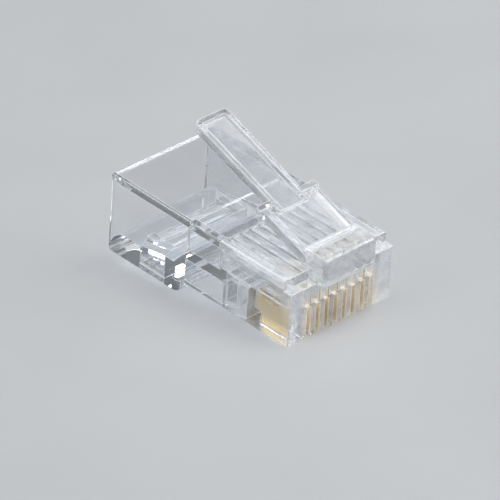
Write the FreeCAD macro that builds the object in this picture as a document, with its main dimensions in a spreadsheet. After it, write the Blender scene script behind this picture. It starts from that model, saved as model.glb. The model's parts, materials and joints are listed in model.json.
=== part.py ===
"""Eight-way modular plug, as it is supplied, before its cable is crimped in.

The plug lies with its latch up and its contacts down. It goes into a jack along -Y, and the cable
enters along -Y from the rear. Every body is drawn in the plug's mating frame: x = 0 is the middle
of the width, y = 0 the front face and z = 0 the contact side of the part that enters the jack.
Placements then move the bodies so that the origin is under the middle of the plug's length, at the
level of the heel that it stands on.
"""
import FreeCAD, Part
import math
import os

import Sketcher
from FreeCAD import Placement, Rotation, Vector

FOLDER = "parts"
SHEET = "Sizes"
CONTACTS = 8
CLAMP_TEETH = 3
BLADE_TINES = 3

# Millimetres, and degrees where the name says so.
DRIVING = {
    # body
    "body_width": 11.68,
    "body_length": 21.5,
    "front_height": 6.1,
    "heel_drop": 1.45,
    "heel_start": 13.1,
    "ledge_height": 5.12,
    "ledge_depth": 0.85,
    "front_round": 0.15,
    "heel_round": 0.6,
    "heel_edge_round": 0.2,
    "rear_round": 0.45,
    "edge_round": 0.2,
    # nose that carries the latch
    "nose_width": 6.04,
    "nose_overhang": 0.87,
    "nose_bottom": 5.0,
    "nose_top": 7.66,
    "nose_round": 0.55,
    "nose_side_round": 0.35,
    "nose_bottom_round": 0.12,
    "nose_rear": 1.78,
    "nose_lip": 0.16,
    "seat_gap": 0.04,
    "seat_rise": 0.33,
    # cable cavity
    "cable_width": 10.2,
    "cable_roof": 5.25,
    "sill_front": 13.9,
    "sill_rear": 15.3,
    "sill_top": 1.1,
    "lip_front": 18.3,
    "lip_top": 0.55,
    "lip_mouth": -0.83,
    "lip_throat": 0.46,
    "lip_curve": 1.9,
    # conductor guides and the platform behind them
    "guide_floor": 2.9,
    "guide_top": 4.7,
    "guide_width": 0.86,
    "guide_front": 1.1,
    "guide_rear": 8.7,
    "guide_arch": 0.36,
    "platform_rear": 12.4,
    "platform_width": 9.2,
    "platform_roof": 4.95,
    # windows under the front part
    "window_width": 10.0,
    "window_depth_rear": 2.1,
    "window_depth_front": 3.0,
    "window_front": 5.2,
    "window_rear": 12.6,
    "pillar_front": 6.4,
    "pillar_rear": 8.0,
    "window_round": 0.5,
    # narrow cores beside the conductors
    "core_inner": 4.75,
    "core_outer": 5.45,
    "core_top": 5.65,
    "core_rear": 8.6,
    "core_round": 0.4,
    # contacts and their slots
    "pitch": 1.02,
    "blade_thickness": 0.32,
    "blade_gap": 0.04,
    "blade_front": 0.45,
    "blade_foot_rear": 3.98,
    "blade_rear": 4.74,
    "blade_bottom": 0.1,
    "blade_step": 1.2,
    "blade_top": 2.3,
    "blade_round": 0.5,
    "tine_front": 1.2,
    "tine_height": 0.7,
    "tine_width": 0.62,
    "slot_gap": 0.07,
    "slot_front_top": 3.05,
    "fin_round": 0.27,
    # strain relief bars
    "bar_gap": 0.1,
    "conductor_clamp_width": 8.5,
    "conductor_clamp_bottom": 0.3,
    "conductor_clamp_top": 2.45,
    "conductor_clamp_chamfer": 0.35,
    "jacket_clamp_width": 8.2,
    "jacket_clamp_top": 1.05,
    "jacket_clamp_bottom": -1.35,
    "jacket_clamp_end": 0.75,
    "tooth_crest": 0.68,
    "tooth_depth": 0.26,
    # latch, drawn flat along its own plate
    "latch_hinge_y": 1.6,
    "latch_hinge_z": 6.76,
    "latch_angle": 18.9,
    "latch_thickness": 0.84,
    "plate_width": 6.1,
    "plate_length": 5.92,
    "shoulder_width": 6.7,
    "shoulder_length": 0.57,
    "shoulder_rise": 0.4,
    "shoulder_curve": 0.45,
    "shoulder_round": 0.35,
    "panel_width": 5.3,
    "panel_front": 0.5,
    "panel_rear_rim": 0.62,
    "panel_depth": 0.36,
    "panel_floor_width": 3.9,
    "panel_ramp": 0.47,
    "handle_overlap": 1.32,
    "handle_root_width": 3.4,
    "handle_tip_width": 3.64,
    "handle_length": 15.56,
    "handle_round": 0.55,
    "handle_pocket_width": 2.56,
    "handle_pocket_depth": 0.42,
    "handle_end_rim": 0.5,
    "handle_lip": 0.16,
    "handle_lip_height": 0.12,
    "end_slant": 0.29,
}


class Size:
    """A length that carries its number and the same length as a spreadsheet expression."""

    def __init__(self, number, words=None):
        self.number = number
        self.words = repr(number) if words is None else words

    def _join(self, other, sign, number):
        return Size(number, f"({self.words} {sign} {other.words})")

    def __add__(self, other):
        other = as_size(other)
        return self._join(other, "+", self.number + other.number)

    def __sub__(self, other):
        other = as_size(other)
        return self._join(other, "-", self.number - other.number)

    def __mul__(self, other):
        other = as_size(other)
        return self._join(other, "*", self.number * other.number)

    def __truediv__(self, other):
        other = as_size(other)
        return self._join(other, "/", self.number / other.number)

    def __rsub__(self, other):
        return as_size(other) - self

    def __neg__(self):
        return Size(-self.number, f"(-{self.words})")

    __radd__ = __add__
    __rmul__ = __mul__


def as_size(value):
    return value if isinstance(value, Size) else Size(float(value))


class Sizes:
    """The driving dimensions, read by name."""

    def __getattr__(self, name):
        return Size(DRIVING[name], f"{SHEET}.{name}")


s = Sizes()


def make_sheet(doc):
    sheet = doc.addObject("Spreadsheet::Sheet", SHEET)
    for row, (name, value) in enumerate(DRIVING.items(), 1):
        sheet.set(f"A{row}", name)
        sheet.set(f"B{row}", str(value))
        sheet.setAlias(f"B{row}", name)
    doc.recompute()


# ---------------------------------------------------------------- drawing helpers

def new_body(doc, label):
    body = doc.addObject("PartDesign::Body", label)
    body.Label = label
    return body


def origin_feature(body, role):
    return next(f for f in body.Origin.OriginFeatures if f.Role == role)


def new_sketch(body, name, plane, along_normal=None):
    """A sketch on an origin plane of its body, moved along the plane's normal if asked."""
    sketch = body.newObject("Sketcher::SketchObject", name)
    sketch.AttachmentSupport = [(origin_feature(body, plane), "")]
    sketch.MapMode = "FlatFace"
    if along_normal is not None:
        sketch.AttachmentOffset = Placement(Vector(0, 0, along_normal.number), Rotation())
        sketch.setExpression("AttachmentOffset.Base.z", along_normal.words)
    return sketch


def side_sketch(body, name, at_x=None):
    """A sketch in the side view: its axes are the plug's y and z."""
    return new_sketch(body, name, "YZ_Plane", at_x)


def front_sketch(body, name, at_y):
    """A sketch in the front view, at one y: its axes are the plug's x and z."""
    return new_sketch(body, name, "XZ_Plane", -at_y)


def top_sketch(body, name, at_z=None):
    """A sketch in the top view, at one z: its axes are the plug's x and y."""
    return new_sketch(body, name, "XY_Plane", at_z)


def fix_point(sketch, geometry, vertex, across, up):
    """Ties one point of a sketch to its two coordinates."""
    for kind, value in (("DistanceX", across), ("DistanceY", up)):
        index = sketch.addConstraint(
            Sketcher.Constraint(kind, -1, 1, geometry, vertex, value.number))
        sketch.setExpression(f"Constraints[{index}]", value.words)


def corner_arc(before, corner, after, radius):
    """The arc that rounds a corner, its two ends, and whether it runs from `before` on."""
    towards = (before - corner).normalize()
    away = (after - corner).normalize()
    half = towards.getAngle(away) / 2
    reach = radius / math.tan(half)
    start = corner + towards * reach
    end = corner + away * reach
    bisector = (towards + away).normalize()
    centre = corner + bisector * (radius / math.sin(half))
    middle = centre - bisector * radius
    return Part.Arc(start, middle, end), start, end


def draw(sketch, corners):
    """Draws a closed outline through (across, up) corners; a third value rounds that corner."""
    corners = [tuple(as_size(v) for v in corner) for corner in corners]
    points = [Vector(c[0].number, c[1].number, 0) for c in corners]
    count = len(corners)
    starts, ends, arcs = list(points), list(points), {}
    for i, corner in enumerate(corners):
        if len(corner) == 3:
            arc, ends[i], starts[i] = corner_arc(
                points[i - 1], points[i], points[(i + 1) % count], corner[2].number)
            arcs[i] = sketch.addGeometry(arc, False)
    lines = [sketch.addGeometry(Part.LineSegment(starts[i], ends[(i + 1) % count]), False)
             for i in range(count)]
    for i, corner in enumerate(corners):
        if i in arcs:
            join_rounded(sketch, lines[i - 1], lines[i], arcs[i], points[i], corner)
        else:
            sketch.addConstraint(Sketcher.Constraint("Coincident", lines[i - 1], 2, lines[i], 1))
            fix_point(sketch, lines[i], 1, corner[0], corner[1])


def join_rounded(sketch, before, after, arc, point, corner):
    """Rounds the corner where two lines meet; a construction point stays at the sharp corner."""
    ends = [sketch.getPoint(arc, which) for which in (1, 2)]
    first = 1 if ends[0].isEqual(sketch.getPoint(before, 2), 1e-6) else 2
    sketch.addConstraint(Sketcher.Constraint("Tangent", before, 2, arc, first))
    sketch.addConstraint(Sketcher.Constraint("Tangent", arc, 3 - first, after, 1))
    sharp = sketch.addGeometry(Part.Point(point), True)
    fix_point(sketch, sharp, 1, corner[0], corner[1])
    sketch.addConstraint(Sketcher.Constraint("PointOnObject", sharp, 1, before))
    sketch.addConstraint(Sketcher.Constraint("PointOnObject", sharp, 1, after))
    index = sketch.addConstraint(Sketcher.Constraint("Radius", arc, corner[2].number))
    sketch.setExpression(f"Constraints[{index}]", corner[2].words)


def extrude(body, kind, sketch, width, name):
    """Pads or pockets a sketch by half the width to each side of its plane."""
    before = body.Shape.Volume if body.Tip else 0.0
    feature = body.newObject(f"PartDesign::{kind}", name)
    feature.Profile = sketch
    feature.SideType = "Symmetric"
    feature.setExpression("Length", width.words)
    body.Document.recompute()
    change = body.Shape.Volume - before
    if change == 0 or (change > 0) != (kind == "Pad"):
        raise RuntimeError(f"{name} changed the volume by {change}")
    return feature


def pad(body, sketch, width, name):
    return extrude(body, "Pad", sketch, width, name)


def pocket(body, sketch, width, name):
    return extrude(body, "Pocket", sketch, width, name)


def dress(body, kind, base, edges, amount, name):
    """Fillets or chamfers the edges of the body's last feature that `edges` picks."""
    chosen = [f"Edge{i}" for i, edge in enumerate(base.Shape.Edges, 1) if edges(edge)]
    if not chosen:
        raise RuntimeError(f"{name} found no edges")
    feature = body.newObject(f"PartDesign::{kind}", name)
    feature.Base = (base, chosen)
    feature.setExpression("Radius" if kind == "Fillet" else "Size", amount.words)
    body.Document.recompute()
    return feature


def near(a, b):
    return abs(a - b) < 1e-4


def runs_along(edge, axis):
    """Whether a straight edge is parallel to an axis given by its index."""
    ends = [vertex.Point for vertex in edge.Vertexes]
    return len(ends) == 2 and near(abs((ends[1] - ends[0])[axis]), edge.Length)


def place(body, forward, up, angle=None):
    """Puts a body drawn in the mating frame, or about its own hinge, into the part's frame."""
    shift_y = forward - middle_of_length()
    shift_z = up + s.heel_drop
    turn = Rotation(Vector(1, 0, 0), angle.number if angle else 0.0)
    body.Placement = Placement(Vector(0, shift_y.number, shift_z.number), turn)
    body.setExpression("Placement.Base.y", shift_y.words)
    body.setExpression("Placement.Base.z", shift_z.words)
    if angle:
        body.setExpression("Placement.Rotation.Angle", angle.words)


# ---------------------------------------------------------------- shared sizes

def middle_of_length():
    return (s.body_length - s.nose_overhang) / 2


def contact_x(index):
    """The x of a contact's mid-plane; index 0 is the one at the lowest x."""
    return s.pitch * (index - (CONTACTS - 1) / 2)


# ---------------------------------------------------------------- housing

def housing_block(body):
    """The outer block: a low front part that enters the jack and a heel behind it."""
    sketch = side_sketch(body, "BlockOutline")
    draw(sketch, [
        (0, 0, s.front_round),
        (0, s.ledge_height),
        (s.ledge_depth, s.ledge_height),
        (s.ledge_depth, s.front_height),
        (s.body_length, s.front_height),
        (s.body_length, -s.heel_drop, s.rear_round),
        (s.heel_start, -s.heel_drop),
        (s.heel_start, 0),
    ])
    block = pad(body, sketch, s.body_width, "Block")
    side = DRIVING["body_width"] / 2
    heel = DRIVING["heel_start"]

    def heel_corner(edge):
        middle = edge.CenterOfMass
        return runs_along(edge, 2) and near(abs(middle.x), side) and near(middle.y, heel)

    corners = dress(body, "Fillet", block, heel_corner, s.heel_round, "HeelCorners")

    def heel_front(edge):
        middle = edge.CenterOfMass
        lowest = near(middle.z, -DRIVING["heel_drop"])
        return runs_along(edge, 0) and lowest and near(middle.y, heel)

    heel_edges = dress(body, "Fillet", corners, heel_front, s.heel_edge_round, "HeelEdges")

    def top_edge(edge):
        middle = edge.CenterOfMass
        highest = near(middle.z, DRIVING["front_height"])
        return runs_along(edge, 1) and highest and near(abs(middle.x), side)

    dress(body, "Fillet", heel_edges, top_edge, s.edge_round, "TopEdges")


def housing_nose(body):
    """The raised nose at the front, with the round seat that the latch springs from."""
    rear = s.nose_rear
    sketch = side_sketch(body, "NoseOutline")
    draw(sketch, [
        (-s.nose_overhang, s.nose_bottom),
        (-s.nose_overhang, s.nose_top, s.nose_round),
        (rear, s.nose_top),
        (rear, s.front_height - s.nose_lip),
        (s.ledge_depth + s.nose_lip, s.front_height - s.nose_lip),
        (s.ledge_depth + s.nose_lip, s.nose_bottom),
    ])
    nose = pad(body, sketch, s.nose_width, "Nose")
    side = DRIVING["nose_width"] / 2
    front = -DRIVING["nose_overhang"]

    def nose_corner(edge):
        middle = edge.CenterOfMass
        return runs_along(edge, 2) and near(abs(middle.x), side) and near(middle.y, front)

    corners = dress(body, "Fillet", nose, nose_corner, s.nose_side_round, "NoseCorners")

    def nose_lower_edge(edge):
        middle = edge.CenterOfMass
        lowest = near(middle.z, DRIVING["nose_bottom"])
        return runs_along(edge, 0) and lowest and near(middle.y, front)

    dress(body, "Fillet", corners, nose_lower_edge, s.nose_bottom_round, "NoseLowerEdge")


def latch_seat(body):
    """Hollows the nose's rear for the latch's round root and lets the latch swing down."""
    radius = s.latch_thickness / 2 + s.seat_gap
    y, z = s.latch_hinge_y, s.latch_hinge_z
    bend = s.latch_thickness / 2
    far = y + s.latch_thickness
    sketch = side_sketch(body, "SeatOutline")
    draw(sketch, [
        (y - radius, z + radius, bend),
        (y - radius, z - radius, bend),
        (far, z - radius),
        (far, z + radius + s.seat_rise),
        (y, z + radius),
    ])
    pocket(body, sketch, s.plate_width + s.seat_gap * 2, "LatchSeat")


def cable_cavity(body):
    """The cavity for the cable: a lip at its mouth, a sill, and the window between them."""
    sketch = side_sketch(body, "CableOutline")
    mouth = s.body_length + s.edge_round
    draw(sketch, [
        (s.platform_rear, s.cable_roof),
        (mouth, s.cable_roof),
        (mouth, s.lip_mouth),
        (s.body_length, s.lip_mouth),
        (s.body_length - s.lip_throat, s.lip_top, s.lip_curve),
        (s.lip_front, s.lip_top),
        (s.sill_rear, s.sill_top),
        (s.sill_front, s.sill_top),
        (s.platform_rear, s.guide_floor),
    ])
    pocket(body, sketch, s.cable_width, "CableCavity")

    below = -s.heel_drop - s.edge_round
    window = side_sketch(body, "JacketWindowOutline")
    draw(window, [
        (s.sill_rear, below),
        (s.lip_front, below),
        (s.lip_front, s.sill_top + s.edge_round),
        (s.sill_rear, s.sill_top + s.edge_round),
    ])
    pocket(body, window, s.jacket_clamp_width + s.bar_gap * 2, "JacketWindow")


def conductor_platform(body):
    """The flat entry behind the guides and the windows below the guides."""
    entry = side_sketch(body, "EntryOutline")
    draw(entry, [
        (s.guide_rear, s.guide_floor),
        (s.platform_rear + s.edge_round, s.guide_floor),
        (s.platform_rear + s.edge_round, s.platform_roof),
        (s.guide_rear, s.platform_roof),
    ])
    pocket(body, entry, s.platform_width, "ConductorEntry")

    below = -s.window_round
    rear = side_sketch(body, "RearWindowOutline")
    draw(rear, [
        (s.pillar_rear, below),
        (s.pillar_rear, s.window_depth_rear, s.window_round),
        (s.window_rear, s.window_depth_rear),
        (s.window_rear, below),
    ])
    pocket(body, rear, s.window_width, "RearWindow")

    front = side_sketch(body, "FrontWindowOutline")
    draw(front, [
        (s.window_front, below),
        (s.window_front, s.window_depth_front),
        (s.pillar_front, s.window_depth_front),
        (s.pillar_front, below),
    ])
    pocket(body, front, s.window_width, "FrontWindow")

    ahead = s.pillar_front - s.edge_round
    behind = s.pillar_rear + s.edge_round
    middle = side_sketch(body, "ClampWindowOutline")
    draw(middle, [
        (ahead, below),
        (ahead, s.window_depth_front),
        (s.pillar_rear, s.window_depth_front),
        (s.pillar_rear, s.window_depth_rear - s.window_round),
        (behind, s.window_depth_rear - s.window_round),
        (behind, below),
    ])
    pocket(body, middle, s.conductor_clamp_width + s.bar_gap * 2, "ClampWindow")


def side_cores(body):
    """The two narrow cores beside the conductors, open at the front over the ledge."""
    mouth = s.ledge_depth - s.edge_round
    core = side_sketch(body, "SideCoreOutline", (s.core_inner + s.core_outer) / 2)
    draw(core, [
        (mouth, s.ledge_height),
        (s.core_rear, s.ledge_height, s.core_round),
        (s.core_rear, s.core_top),
        (mouth, s.core_top),
    ])
    cut = pocket(body, core, s.core_outer - s.core_inner, "SideCore")
    both = body.newObject("PartDesign::Mirrored", "SideCores")
    both.Originals = [cut]
    both.MirrorPlane = (origin_feature(body, "YZ_Plane"), [""])
    body.Tip = both
    body.Document.recompute()


def contact_comb(body):
    """One guide, slot and rounded slot mouth, repeated at the contacts' pitch."""
    half_guide = s.guide_width / 2
    x = contact_x(0)
    guide = front_sketch(body, "GuideOutline", (s.guide_front + s.guide_rear) / 2)
    draw(guide, [
        (x - half_guide, s.guide_floor),
        (x - half_guide, s.guide_top, s.guide_arch),
        (x + half_guide, s.guide_top, s.guide_arch),
        (x + half_guide, s.guide_floor),
    ])
    guide_cut = pocket(body, guide, s.guide_rear - s.guide_front + s.edge_round, "Guide")

    slot = side_sketch(body, "SlotOutline", x)
    foot_rear = s.blade_foot_rear + s.slot_gap
    outside = -s.front_round
    draw(slot, [
        (outside, outside),
        (foot_rear, outside),
        (foot_rear, s.blade_step - s.slot_gap),
        (s.blade_rear + s.slot_gap, s.blade_step - s.slot_gap),
        (s.blade_rear + s.slot_gap, s.guide_floor + s.edge_round),
        (s.guide_front + s.edge_round, s.guide_floor + s.edge_round),
        (s.guide_front + s.edge_round, s.slot_front_top),
        (outside, s.slot_front_top),
    ])
    slot_width = s.blade_thickness + s.blade_gap * 2
    slot_cut = pocket(body, slot, slot_width, "Slot")

    half = slot_width / 2
    spread = s.pitch / 2
    mouth = front_sketch(body, "MouthOutline", foot_rear / 2)
    draw(mouth, [
        (x - half, s.fin_round * 2),
        (x - half, 0, s.fin_round),
        (x - spread, 0),
        (x - spread, outside),
        (x + spread, outside),
        (x + spread, 0),
        (x + half, 0, s.fin_round),
        (x + half, s.fin_round * 2),
    ])
    mouth_cut = pocket(body, mouth, foot_rear + s.edge_round, "Mouth")

    comb = body.newObject("PartDesign::LinearPattern", "Comb")
    comb.Originals = [guide_cut, slot_cut, mouth_cut]
    comb.Direction = (origin_feature(body, "X_Axis"), [""])
    comb.setExpression("Length", (s.pitch * (CONTACTS - 1)).words)
    comb.Occurrences = CONTACTS
    body.Tip = comb
    body.Document.recompute()


def make_housing(doc):
    body = new_body(doc, "housing")
    housing_block(body)
    housing_nose(body)
    latch_seat(body)
    cable_cavity(body)
    conductor_platform(body)
    side_cores(body)
    contact_comb(body)
    place(body, as_size(0), as_size(0))
    return body


# ---------------------------------------------------------------- moving pieces

def end_wedge(end):
    """The wedge to cut from an end of the latch, so that the end stands upright on the plug."""
    top = s.latch_thickness / 2
    beyond = end + s.end_slant
    return [(end, top), (end - s.end_slant, -top), (beyond, -top), (beyond, top)]


def latch_plate(body):
    """The latch's plate: a round root at its front and shoulders at its rear."""
    top = s.latch_thickness / 2
    root = top * 0.98
    full = s.plate_length - s.shoulder_length
    plate = side_sketch(body, "PlateOutline")
    draw(plate, [
        (-top, -top, root),
        (full, -top),
        (full, top),
        (-top, top, root),
    ])
    pad(body, plate, s.plate_width, "Plate")

    side = s.plate_width / 2
    end = s.shoulder_width / 2
    start = full - s.shoulder_rise
    inside = start - s.shoulder_curve
    shoulders = top_sketch(body, "ShoulderOutline")
    draw(shoulders, [
        (side, inside),
        (side, start, s.shoulder_curve),
        (end, full, s.shoulder_curve),
        (end, s.plate_length, s.shoulder_round),
        (-end, s.plate_length, s.shoulder_round),
        (-end, full, s.shoulder_curve),
        (-side, start, s.shoulder_curve),
        (-side, inside),
    ])
    pad(body, shoulders, s.latch_thickness, "Shoulders")
    wedge = side_sketch(body, "ShoulderWedge")
    draw(wedge, end_wedge(s.plate_length))
    pocket(body, wedge, s.shoulder_width + s.end_slant, "ShoulderEnd")


def latch_panel(body):
    """The dished panel on the plate; its sides and its rear end slope down to a flat floor."""
    top = s.latch_thickness / 2
    rear = s.plate_length - s.panel_rear_rim
    rim = top_sketch(body, "PanelRim", top)
    draw(rim, panel_corners(s.panel_width / 2, rear))
    floor = top_sketch(body, "PanelFloor", top - s.panel_depth)
    draw(floor, panel_corners(s.panel_floor_width / 2, rear - s.panel_ramp))
    panel = body.newObject("PartDesign::SubtractiveLoft", "Panel")
    panel.Profile = rim
    panel.Sections = [floor]
    body.Document.recompute()


def panel_corners(half, rear):
    front = s.panel_front
    return [(-half, front), (half, front), (half, rear), (-half, rear)]


def latch_handle(body):
    """The handle, wider towards its tip, with a long pocket between two rims."""
    top = s.latch_thickness / 2
    root = s.handle_root_width / 2
    tip = s.handle_tip_width / 2
    start = s.plate_length - s.handle_overlap
    handle = top_sketch(body, "HandleOutline")
    draw(handle, [
        (-root, start),
        (root, start),
        (tip, s.handle_length),
        (-tip, s.handle_length),
    ])
    pad(body, handle, s.latch_thickness, "Handle")
    wedge = side_sketch(body, "HandleWedge")
    draw(wedge, end_wedge(s.handle_length))
    handle_end = pocket(body, wedge, s.handle_tip_width + s.end_slant, "HandleEnd")
    corner = Vector(tip.number, (s.handle_length - s.end_slant / 2).number, 0)

    def tip_corner(edge):
        middle = edge.CenterOfMass
        return Vector(abs(middle.x), middle.y, middle.z).distanceToPoint(corner) < 0.05

    dress(body, "Fillet", handle_end, tip_corner, s.handle_round, "TipCorners")

    before = start - s.handle_lip
    front = start + s.handle_lip
    rear = s.handle_length - s.handle_end_rim
    lip_top = top - s.panel_depth + s.handle_lip_height
    floor = top - s.handle_pocket_depth
    above = top + s.handle_lip
    recess = side_sketch(body, "PocketOutline")
    draw(recess, [
        (before, lip_top),
        (front, lip_top),
        (front, floor),
        (rear, floor),
        (rear, above),
        (before, above),
    ])
    pocket(body, recess, s.handle_pocket_width, "HandlePocket")


def make_latch(doc):
    """The spring latch, drawn flat about its root."""
    body = new_body(doc, "latch")
    latch_plate(body)
    latch_panel(body)
    latch_handle(body)
    place(body, s.latch_hinge_y, s.latch_hinge_z, s.latch_angle)
    return body


def make_conductor_clamp(doc):
    """The bar that is driven up against the conductors at crimping."""
    body = new_body(doc, "conductor_clamp")
    front = s.pillar_front + s.bar_gap
    rear = s.pillar_rear - s.bar_gap
    shoulder = s.conductor_clamp_top - s.conductor_clamp_chamfer
    sketch = side_sketch(body, "BarOutline")
    draw(sketch, [
        (front, s.conductor_clamp_bottom),
        (front, shoulder),
        (front + s.conductor_clamp_chamfer, s.conductor_clamp_top),
        (rear - s.conductor_clamp_chamfer, s.conductor_clamp_top),
        (rear, shoulder),
        (rear, s.conductor_clamp_bottom),
    ])
    pad(body, sketch, s.conductor_clamp_width, "Bar")
    place(body, as_size(0), as_size(0))
    return body


def make_jacket_clamp(doc):
    """The toothed bar, with a raised end at each side, that crimping drives up to the jacket."""
    body = new_body(doc, "jacket_clamp")
    front = s.sill_rear + s.bar_gap
    rear = s.lip_front - s.bar_gap
    sketch = side_sketch(body, "BlockOutline")
    draw(sketch, [
        (front, s.jacket_clamp_bottom),
        (front, s.jacket_clamp_top),
        (rear, s.jacket_clamp_top),
        (rear, s.jacket_clamp_bottom),
    ])
    pad(body, sketch, s.jacket_clamp_width, "Block")

    pitch = (rear - front) / CLAMP_TEETH
    teeth = []
    for i in range(CLAMP_TEETH):
        teeth.append((front + pitch * i, s.tooth_crest))
        teeth.append((front + pitch * (i + 1), s.tooth_crest - s.tooth_depth))
    above = s.jacket_clamp_top + s.tooth_depth
    tray = side_sketch(body, "TeethOutline")
    draw(tray, [*teeth, (rear, above), (front, above)])
    pocket(body, tray, s.jacket_clamp_width - s.jacket_clamp_end * 2, "Teeth")
    place(body, as_size(0), as_size(0))
    return body


def make_contact(doc, index):
    """A gold-plated blade with tines above and a rounded front foot."""
    body = new_body(doc, f"contact_{index + 1}")
    spacing = (s.blade_rear - s.tine_front - s.tine_width) / (BLADE_TINES - 1)
    tines = []
    for i in range(BLADE_TINES):
        start = s.tine_front + spacing * i
        tines.append((start, s.blade_top))
        tines.append((start + s.tine_width / 2, s.blade_top + s.tine_height))
        tines.append((start + s.tine_width, s.blade_top))
    sketch = side_sketch(body, "BladeOutline", contact_x(index))
    draw(sketch, [
        (s.blade_front, s.blade_bottom, s.blade_round),
        (s.blade_front, s.blade_top),
        *tines,
        (s.blade_rear, s.blade_step),
        (s.blade_foot_rear, s.blade_step),
        (s.blade_foot_rear, s.blade_bottom),
    ])
    pad(body, sketch, s.blade_thickness, "Blade")
    place(body, as_size(0), as_size(0))
    return body


# ---------------------------------------------------------------- build, check and write

def check(doc, bodies):
    for item in doc.Objects:
        if "Invalid" in item.State or "Error" in item.State:
            raise RuntimeError(f"{item.Name} failed: {item.State}")
    for body in bodies:
        if body.Shape.isNull() or not body.Shape.isValid() or len(body.Shape.Solids) != 1:
            raise RuntimeError(f"{body.Label} is not one valid solid")


def main():
    doc = FreeCAD.newDocument("ModularPlug")
    make_sheet(doc)
    bodies = [make_housing(doc), make_latch(doc), make_conductor_clamp(doc), make_jacket_clamp(doc)]
    bodies += [make_contact(doc, index) for index in range(CONTACTS)]
    doc.recompute()
    check(doc, bodies)
    os.makedirs(FOLDER, exist_ok=True)
    for body in bodies:
        body.Shape.exportStep(f"{FOLDER}/{body.Label}.step")
        box = body.Shape.BoundBox
        print(f"{body.Label}: {body.Shape.Volume:.2f} mm3, {len(body.Shape.Faces)} faces, "
              f"y {box.YMin:.3f} to {box.YMax:.3f}, z {box.ZMin:.3f} to {box.ZMax:.3f}")


main()
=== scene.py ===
"""Looks for the clear modular plug: materials, floor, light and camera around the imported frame."""
import json
import math

import bpy
from mathutils import Matrix, Vector


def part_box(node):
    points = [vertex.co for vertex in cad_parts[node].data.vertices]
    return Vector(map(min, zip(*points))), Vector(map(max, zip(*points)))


MM = 0.001
CAMERA_AZIMUTH = math.radians(-45.93)
CAMERA_ELEVATION = math.radians(33.46)
CAMERA_ROLL = math.radians(3.83)
CAMERA_DISTANCE = 432.4 * MM
CAMERA_LENS = 378.33
SENSOR_WIDTH = 36
CLIP_NEAR, CLIP_FAR = 0.01, 20
LOOK_SIDEWAYS = -1.45 * MM
LOOK_FROM_REAR = 12.32 * MM
LOOK_HEIGHT = 4.45 * MM
NOSE_DOWN = math.radians(6.38)
FLOOR_SIZE = 3.0
LAMP_DISTANCE = 0.5
LAMPS = (  # name, direction from the plug, width and height in metres, watts
    ("top_box", (0.1, 0.35, 1.0), (0.5, 0.4), 1.5),
    ("front_box", (0.75, -0.75, 1.3), (0.34, 0.42), 1.5),
    ("low_box", (0.9, -0.9, 0.75), (0.16, 0.16), 0.3),
    ("left_box", (-1.0, 0.5, 0.35), (0.26, 0.75), 0.9),
)
SKY_COLOUR = (0.9, 0.95, 1.0, 1)
SKY_STRENGTH = 0.22
EDGE_WIDTH = 0.17 * MM
EDGE_SOFTNESS = 0.09 * MM
WAVE_HEIGHT = 0.05 * MM
ROLLING_HEIGHT = 0.006 * MM
GUIDES_FROST = (0.5 * MM, -4.5 * MM)
GUIDES_SHARE = 0.35
NOSE_FROST = (-8.4 * MM, -10.0 * MM)
NOSE_SHARE = 0.65
# Where the painted warm glow lies in the comb: painted light from the gold contacts, not a tint of
# the plastic.
COMB_PAINTED_GLOW = (  # axis, where the glow starts and where it is full
    ("X", 4.7 * MM, 4.1 * MM),
    ("X", -4.7 * MM, -4.1 * MM),
    ("Z", 5.6 * MM, 4.8 * MM),
)
PLASTIC_IOR = 1.585
PLASTIC_PALE = (0.93, 0.94, 0.95)
PLASTIC_GREY = (0.88, 0.895, 0.92)
# Painted warm glow, standing in for the gold's light seen through the plastic.
PLASTIC_PAINTED_GOLD_GLOW = (1.0, 0.925, 0.82)
PLASTIC_SHADOW = (0.88, 0.89, 0.9, 1)
INNER_REFLECTIONS = 2.5
GOLD_PALE = (1.0, 0.78, 0.37)
GOLD_DEEP = (0.96, 0.70, 0.28)
FLOOR_PALE = (0.49, 0.50, 0.51)
FLOOR_GREY = (0.47, 0.48, 0.49)


def node(tree, kind, inputs=None, **settings):
    """Adds a shader node; inputs maps socket names to values or to sockets to link from."""
    made = tree.nodes.new(kind)
    for name, value in settings.items():
        setattr(made, name, value)
    for name, value in (inputs or {}).items():
        socket = made.inputs[name]
        if isinstance(value, bpy.types.NodeSocket):
            tree.links.new(value, socket)
        else:
            socket.default_value = value
    return made


def noise(tree, coords, scale, detail=4.0, roughness=0.5, stretch=(1, 1, 1)):
    """Noise whose features are 1/scale metres long, stretched along the axes if asked."""
    moved = node(tree, "ShaderNodeMapping", {"Vector": coords, "Scale": stretch})
    made = node(tree, "ShaderNodeTexNoise", {
        "Vector": moved.outputs["Vector"], "Scale": scale,
        "Detail": detail, "Roughness": roughness})
    return made.outputs["Fac"]


def remap(tree, value, low, high, start=0.3, end=0.7):
    made = node(tree, "ShaderNodeMapRange", {
        "Value": value, "From Min": start, "From Max": end, "To Min": low, "To Max": high})
    return made.outputs["Result"]


def blend_colours(tree, factor, first, second):
    made = node(tree, "ShaderNodeMix", {"Factor": factor}, data_type="RGBA")
    for socket, colour in ((made.inputs[6], first), (made.inputs[7], second)):
        if isinstance(colour, bpy.types.NodeSocket):
            tree.links.new(colour, socket)
        else:
            socket.default_value = (*colour, 1)
    return made.outputs[2]


def add(tree, first, second):
    return node(tree, "ShaderNodeMath", {0: first, 1: second}, operation="ADD").outputs[0]


def multiply(tree, first, second):
    return node(tree, "ShaderNodeMath", {0: first, 1: second}, operation="MULTIPLY").outputs[0]


def mix(tree, factor, low, high):
    """The value between two numbers that a factor from 0 to 1 picks."""
    made = node(tree, "ShaderNodeMapRange", {"Value": factor, "To Min": low, "To Max": high})
    return made.outputs["Result"]


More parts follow.
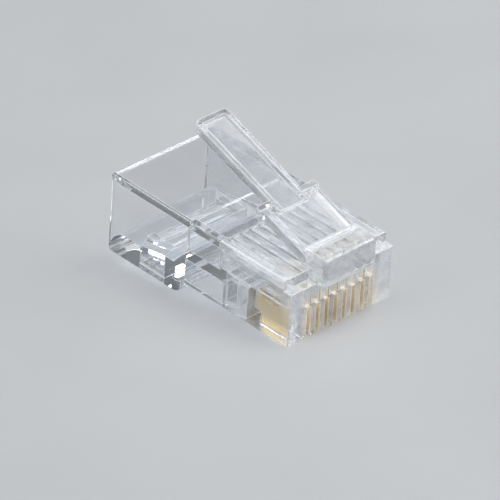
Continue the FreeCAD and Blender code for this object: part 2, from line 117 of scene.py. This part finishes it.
def new_material(name):
    material = bpy.data.materials.new(name)
    material.use_nodes = True
    tree = material.node_tree
    tree.nodes.clear()
    output = tree.nodes.new("ShaderNodeOutputMaterial")
    coords = tree.nodes.new("ShaderNodeTexCoord").outputs["Object"]
    return material, tree, output, coords


def fade(tree, coords, axis, clear_at, frosted_at):
    """0 where the plastic is polished and 1 where it is frosted, along one axis of the frame."""
    split = node(tree, "ShaderNodeSeparateXYZ", {"Vector": coords})
    made = node(tree, "ShaderNodeMapRange", {
        "Value": split.outputs[axis], "From Min": clear_at, "From Max": frosted_at},
        interpolation_type="SMOOTHSTEP")
    return made.outputs["Result"]


def painted_highlight_mask(tree):
    """1 along the edges, where the softened normal leaves the face's own, and 0 elsewhere; it places
    the painted edge highlight.
    """
    bevel = node(tree, "ShaderNodeBevel", {"Radius": EDGE_WIDTH}, samples=6)
    flat = tree.nodes.new("ShaderNodeNewGeometry").outputs["Normal"]
    same = node(tree, "ShaderNodeVectorMath", {
        0: bevel.outputs["Normal"], 1: flat}, operation="DOT_PRODUCT")
    return remap(tree, same.outputs["Value"], 1.0, 0.0, 0.86, 0.995)


def clear_plastic(name, roughness, haze, waves, edge_painted_highlight, graded=False):
    """Moulded clear polycarbonate; each pair is the value where polished and where frosted.

    Graded, it is polished at the rear and milky at the nose, and the comb has a painted warm glow
    that stands in for light from the gold. A diffuse share along the edges is a painted highlight.
    """
    material, tree, output, coords = new_material(name)
    flow = noise(tree, coords, 210, 2, 0.4, (1.6, 0.5, 1.2))
    cloud = noise(tree, coords, 750, 4, 0.6)
    grit = noise(tree, coords, 5200, 2, 0.6)
    colour = blend_colours(tree, remap(tree, flow, 0, 1), PLASTIC_PALE, PLASTIC_GREY)
    if graded:
        guides = fade(tree, coords, "Y", *GUIDES_FROST)
        nose = fade(tree, coords, "Y", *NOSE_FROST)
        # Painted glow: the comb's base colour is warmed to stand in for light from the gold contacts
        # behind it.
        comb = nose
        for span in COMB_PAINTED_GLOW:
            comb = multiply(tree, comb, fade(tree, coords, *span))
        frosted = add(tree, multiply(tree, guides, GUIDES_SHARE), multiply(tree, nose, NOSE_SHARE))
        colour = blend_colours(tree, comb, colour, PLASTIC_PAINTED_GOLD_GLOW)
    else:
        frosted = remap(tree, cloud, 0.6, 1.0)
    patches = remap(tree, cloud, 0.5, 1.3)
    streaks = remap(tree, flow, 0.4, 1.4)
    rough = multiply(tree, patches, mix(tree, frosted, *roughness))
    bevel = node(tree, "ShaderNodeBevel", {"Radius": EDGE_SOFTNESS}, samples=4)
    # Milky haze from the frosting, plus a painted highlight: a diffuse share along the edges that
    # stands in for lamp light caught in the rounded edges.
    haze_and_painted_highlight = add(tree, multiply(tree, multiply(tree, streaks, patches), mix(tree, frosted, *haze)),
                multiply(tree, painted_highlight_mask(tree), edge_painted_highlight))
    clear_share = node(
        tree, "ShaderNodeMath", {0: 1.0, 1: haze_and_painted_highlight}, operation="SUBTRACT", use_clamp=True)
    height = add(tree, multiply(tree, flow, mix(tree, frosted, 0.25 * waves, waves)),
                 multiply(tree, grit, mix(tree, frosted, 0.005, 0.05)))
    bump = node(tree, "ShaderNodeBump", {
        "Strength": 0.5, "Distance": WAVE_HEIGHT, "Height": height,
        "Normal": bevel.outputs["Normal"]})
    shader = node(tree, "ShaderNodeBsdfPrincipled", {
        "Base Color": colour, "Roughness": rough, "Normal": bump.outputs["Normal"],
        "Transmission Weight": clear_share.outputs[0], "IOR": PLASTIC_IOR})
    clear = node(tree, "ShaderNodeBsdfTransparent", {"Color": PLASTIC_SHADOW})
    path = tree.nodes.new("ShaderNodeLightPath").outputs
    deep = node(tree, "ShaderNodeMath", {
        0: path["Glossy Depth"], 1: INNER_REFLECTIONS}, operation="GREATER_THAN")
    passing = node(tree, "ShaderNodeMath", {
        0: path["Is Shadow Ray"], 1: deep.outputs[0]}, operation="MAXIMUM")
    mixed = node(tree, "ShaderNodeMixShader", {
        "Fac": passing.outputs[0], 1: shader.outputs["BSDF"], 2: clear.outputs["BSDF"]})
    tree.links.new(mixed.outputs["Shader"], output.inputs["Surface"])
    return material


def gold_plate(name):
    """Thin gold on stamped bronze: fine rolling lines and a slightly uneven tone."""
    material, tree, output, coords = new_material(name)
    lines = noise(tree, coords, 900, 3, 0.5, (1, 0.12, 6))
    tone = noise(tree, coords, 700, 3)
    colour = blend_colours(tree, remap(tree, tone, 0, 1), GOLD_PALE, GOLD_DEEP)
    rough = remap(tree, lines, 0.24, 0.36)
    bump = node(tree, "ShaderNodeBump", {
        "Strength": 0.2, "Distance": ROLLING_HEIGHT, "Height": lines})
    shader = node(tree, "ShaderNodeBsdfPrincipled", {
        "Base Color": colour, "Roughness": rough,
        "Normal": bump.outputs["Normal"], "Metallic": 1.0})
    tree.links.new(shader.outputs["BSDF"], output.inputs["Surface"])
    return material


def dress(frame):
    """Gives every piece the look of its record's material."""
    # The last number of each plastic is the strength of its painted edge highlight.
    looks = {
        "clear_housing": clear_plastic(
            "clear_housing_look", (0.02, 0.2), (0.015, 0.36), 0.07, 0.85, graded=True),
        "clear_latch": clear_plastic("clear_latch_look", (0.03, 0.09), (0.04, 0.13), 0.16, 0.9),
        "clear_clamp": clear_plastic("clear_clamp_look", (0.03, 0.05), (0.03, 0.07), 0.06, 0.9),
        "contact_gold": gold_plate("contact_gold_look"),
    }
    slots = {part["node"]: part["material_slot"] for part in frame["record"]["subparts"]}
    for name, piece in frame["nodes"].items():
        for holder in piece.material_slots:
            holder.material = looks[slots[name]]


def add_floor(frame):
    """A pale floor under the plug as it rests, tipped onto the front of its heel."""
    up = Vector((0, math.sin(NOSE_DOWN), math.cos(NOSE_DOWN)))
    height = min(up.dot(v.co) for piece in frame["nodes"].values() for v in piece.data.vertices)
    along = Vector((0, math.cos(NOSE_DOWN), -math.sin(NOSE_DOWN)))
    across = Vector((1, 0, 0))
    half = FLOOR_SIZE / 2
    corners = [up * height + across * (half * i) + along * (half * j)
               for i, j in ((-1, -1), (1, -1), (1, 1), (-1, 1))]
    mesh = bpy.data.meshes.new("floor")
    mesh.from_pydata(corners, [], [(0, 1, 2, 3)])
    floor = bpy.data.objects.new("floor", mesh)
    bpy.context.scene.collection.objects.link(floor)
    material, tree, output, coords = new_material("floor_look")
    grain = noise(tree, coords, 60, 3)
    colour = blend_colours(tree, remap(tree, grain, 0, 1), FLOOR_PALE, FLOOR_GREY)
    shader = node(tree, "ShaderNodeBsdfPrincipled", {
        "Base Color": colour, "Roughness": 0.45, "Specular IOR Level": 0.2})
    tree.links.new(shader.outputs["BSDF"], output.inputs["Surface"])
    mesh.materials.append(material)


def add_softbox(target, name, direction, size, watts):
    """A rectangular area lamp that faces the plug."""
    lamp = bpy.data.lights.new(name, "AREA")
    lamp.shape = "RECTANGLE"
    lamp.size, lamp.size_y = size
    lamp.energy = watts
    holder = bpy.data.objects.new(name, lamp)
    direction = Vector(direction).normalized()
    holder.location = target + direction * LAMP_DISTANCE
    holder.rotation_euler = direction.to_track_quat("Z", "Y").to_euler()
    bpy.context.scene.collection.objects.link(holder)


def add_light(target):
    for lamp in LAMPS:
        add_softbox(target, *lamp)
    world = bpy.data.worlds.new("studio")
    bpy.context.scene.world = world
    world.use_nodes = True
    tree = world.node_tree
    tree.nodes.clear()
    output = tree.nodes.new("ShaderNodeOutputWorld")
    sky = node(tree, "ShaderNodeBackground", {"Color": SKY_COLOUR, "Strength": SKY_STRENGTH})
    tree.links.new(sky.outputs["Background"], output.inputs["Surface"])


def look_at():
    """The point that the camera and the lamps aim at."""
    low, high = (Vector(corner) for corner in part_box("housing"))
    return Vector((LOOK_SIDEWAYS, high.y - LOOK_FROM_REAR, low.z + LOOK_HEIGHT))


def add_camera(target):
    """The photograph's camera: a long lens from the front left, turned a little about its axis."""
    azimuth, elevation, roll = CAMERA_AZIMUTH, CAMERA_ELEVATION, CAMERA_ROLL
    back = Vector((math.sin(azimuth) * math.cos(elevation),
                   -math.cos(azimuth) * math.cos(elevation),
                   math.sin(elevation)))
    right = Vector((math.cos(azimuth), math.sin(azimuth), 0))
    up = back.cross(right)
    rolled_right = right * math.cos(roll) + up * math.sin(roll)
    rolled_up = up * math.cos(roll) - right * math.sin(roll)
    turn = Matrix((rolled_right, rolled_up, back)).transposed().to_4x4()
    camera = bpy.data.cameras.new("camera")
    camera.lens = CAMERA_LENS
    camera.sensor_width = SENSOR_WIDTH
    camera.clip_start = CLIP_NEAR
    camera.clip_end = CLIP_FAR
    holder = bpy.data.objects.new("camera", camera)
    holder.matrix_world = Matrix.Translation(target + back * CAMERA_DISTANCE) @ turn
    bpy.context.scene.collection.objects.link(holder)
    bpy.context.scene.camera = holder


def corners(bounds):
    return [list(corner) for corner in bounds]


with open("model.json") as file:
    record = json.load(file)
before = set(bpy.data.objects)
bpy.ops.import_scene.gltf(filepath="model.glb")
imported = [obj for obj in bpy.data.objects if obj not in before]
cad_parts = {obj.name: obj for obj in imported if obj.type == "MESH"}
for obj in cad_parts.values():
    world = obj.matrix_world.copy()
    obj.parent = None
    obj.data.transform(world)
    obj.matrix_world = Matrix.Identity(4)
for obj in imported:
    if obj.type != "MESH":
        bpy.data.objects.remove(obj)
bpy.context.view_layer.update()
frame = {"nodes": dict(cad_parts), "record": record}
dress(frame)
add_floor(frame)
aim = look_at()
add_light(aim)
add_camera(aim)
bpy.context.scene.view_settings.view_transform = "Standard"
